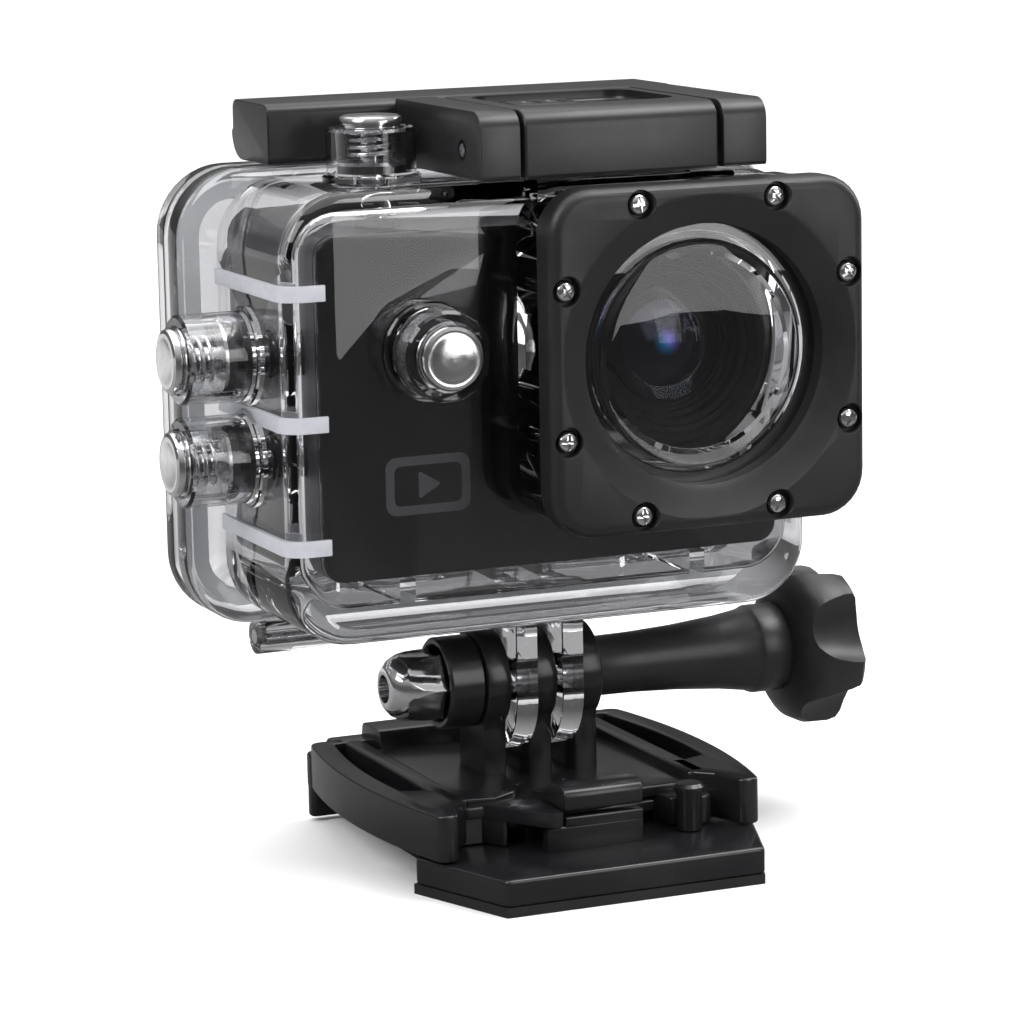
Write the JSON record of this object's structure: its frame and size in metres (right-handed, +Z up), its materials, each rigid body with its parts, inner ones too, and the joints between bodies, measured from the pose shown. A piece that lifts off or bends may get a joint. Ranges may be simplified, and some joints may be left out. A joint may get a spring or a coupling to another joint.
{
  "type": "action camera in a diving case",
  "caption": "Small action camera in a clear waterproof case with four push buttons and a top latch, on a tilting quick-release buckle with a thumb screw and an adhesive base plate.",
  "frame": {"origin": "on the adhesive face of the base plate, midway between its sides, 29 mm behind its front edge", "axes": "+X to the right of someone facing the lens, +Y from the lens to the back door, +Z up from the adhesive face"},
  "size_m": [0.0887, 0.0548, 0.0924],
  "materials": {
    "black_plastic": "satin moulded polycarbonate",
    "latch_plastic": "satin",
    "foam_pad": "adhesive foam",
    "steel": "stainless steel",
    "chrome": "polished",
    "clear_case": "clear polycarbonate, 1.2 t/m3",
    "window_glass": "coated flat glass",
    "seal": "translucent silicone",
    "black_rubber": "black rubber",
    "panel_black": "fine-grained lacquer",
    "frame_grey": "painted",
    "screen": "gloss",
    "board": "solder mask",
    "lens_black": "anodised black",
    "optics": "coated lens glass",
    "battery_wrap": "shrink wrap",
    "key_metal": "satin"
  },
  "bodies": {
    "mount": {"mount_base": "black_plastic", "adhesive_pad": "foam_pad"},
    "case": {"case_shell": "clear_case", "door_hinge_pin": "steel", "lens_plate": "latch_plastic", "lens_plate_screws": "chrome", "lens_window": "window_glass", "window_seal": "black_rubber", "button_seals": "black_rubber", "button_washers": "steel", "camera_front_panel": "panel_black", "camera_frame": "frame_grey", "camera_back_panel": "panel_black", "screen_glass": "screen", "screen_module": "frame_grey", "main_board": "board", "sensor_board": "board", "lens_holder": "lens_black", "lens_rings": "lens_black", "lens_glass": "optics", "lens_rear_glass": "optics", "battery": "battery_wrap", "battery_door": "frame_grey", "memory_card": "screen", "speaker": "lens_black", "shutter_spring": "steel", "power_spring": "steel", "up_spring": "steel", "down_spring": "steel"},
    "buckle_body": {"buckle": "black_plastic", "cap_nut": "chrome"},
    "thumb_screw": {"thumb_bolt": "steel", "thumb_knob": "black_plastic"},
    "door": {"case_door": "clear_case", "door_seal": "seal"},
    "latch": {"latch_frame": "latch_plastic", "latch_hinge_pin": "steel", "latch_lever_pin": "steel"},
    "lever": {"latch_lever": "latch_plastic"},
    "lock": {"latch_lock": "latch_plastic"},
    "shutter_button": {"shutter_plunger": "steel", "shutter_clip": "steel"},
    "shutter_key_body": {"shutter_key": "key_metal"},
    "power_button": {"power_plunger": "steel", "power_clip": "steel"},
    "power_key_body": {"power_key": "key_metal"},
    "up_button": {"up_plunger": "steel", "up_clip": "steel"},
    "up_key_body": {"up_key": "key_metal"},
    "down_button": {"down_plunger": "steel", "down_clip": "steel"},
    "down_key_body": {"down_key": "key_metal"}
  },
  "joints": [
    {"name": "buckle_slide", "type": "slide", "parent": "mount", "child": "buckle_body", "axis": [0, 1, 0], "range_m": [0, 0.05]},
    {"name": "case_tilt", "type": "hinge", "parent": "buckle_body", "child": "case", "pos_m": [0, 0.003, 0.0212], "axis": [1, 0, 0], "range_deg": [-35, 65]},
    {"name": "thumb_turn", "type": "hinge", "parent": "buckle_body", "child": "thumb_screw", "pos_m": [0, 0.003, 0.0212], "axis": [1, 0, 0], "continuous": true},
    {"name": "door_hinge", "type": "hinge", "parent": "case", "child": "door", "pos_m": [0, 0.0186, 0.026], "axis": [-1, 0, 0], "range_deg": [0, 90]},
    {"name": "latch_hinge", "type": "hinge", "parent": "door", "child": "latch", "pos_m": [0, 0.0196, 0.0885], "axis": [-1, 0, 0], "range_deg": [0, 100]},
    {"name": "lever_hinge", "type": "hinge", "parent": "latch", "child": "lever", "pos_m": [0, -0.0101, 0.0876], "axis": [-1, 0, 0], "range_deg": [0, 14], "stiffness_Nm_per_rad": 0.06, "springref_deg": -8.59},
    {"name": "lock_slide", "type": "slide", "parent": "lever", "child": "lock", "axis": [1, 0, 0], "range_m": [0, 0.003]},
    {"name": "shutter_press", "type": "slide", "parent": "case", "child": "shutter_button", "axis": [0, 0, -1], "range_m": [0, 0.0008], "stiffness_N_per_m": 500, "springref_m": -0.002, "deforming": ["shutter_spring"]},
    {"name": "power_press", "type": "slide", "parent": "case", "child": "power_button", "axis": [0, 1, 0], "range_m": [0, 0.0008], "stiffness_N_per_m": 500, "springref_m": -0.002, "deforming": ["power_spring"]},
    {"name": "up_press", "type": "slide", "parent": "case", "child": "up_button", "axis": [1, 0, 0], "range_m": [0, 0.0008], "stiffness_N_per_m": 500, "springref_m": -0.002, "deforming": ["up_spring"]},
    {"name": "down_press", "type": "slide", "parent": "case", "child": "down_button", "axis": [1, 0, 0], "range_m": [0, 0.0008], "stiffness_N_per_m": 500, "springref_m": -0.002, "deforming": ["down_spring"]},
    {"name": "shutter_key_press", "type": "slide", "parent": "case", "child": "shutter_key_body", "axis": [0, 0, -1], "range_m": [0, 0.0008]},
    {"name": "power_key_press", "type": "slide", "parent": "case", "child": "power_key_body", "axis": [0, 1, 0], "range_m": [0, 0.0008]},
    {"name": "up_key_press", "type": "slide", "parent": "case", "child": "up_key_body", "axis": [1, 0, 0], "range_m": [0, 0.0008]},
    {"name": "down_key_press", "type": "slide", "parent": "case", "child": "down_key_body", "axis": [1, 0, 0], "range_m": [0, 0.0008]}
  ],
  "couplings": [
    {"joint": "shutter_key_press", "follows": "shutter_press", "ratio": 1},
    {"joint": "power_key_press", "follows": "power_press", "ratio": 1},
    {"joint": "up_key_press", "follows": "up_press", "ratio": 1},
    {"joint": "down_key_press", "follows": "down_press", "ratio": 1}
  ]
}
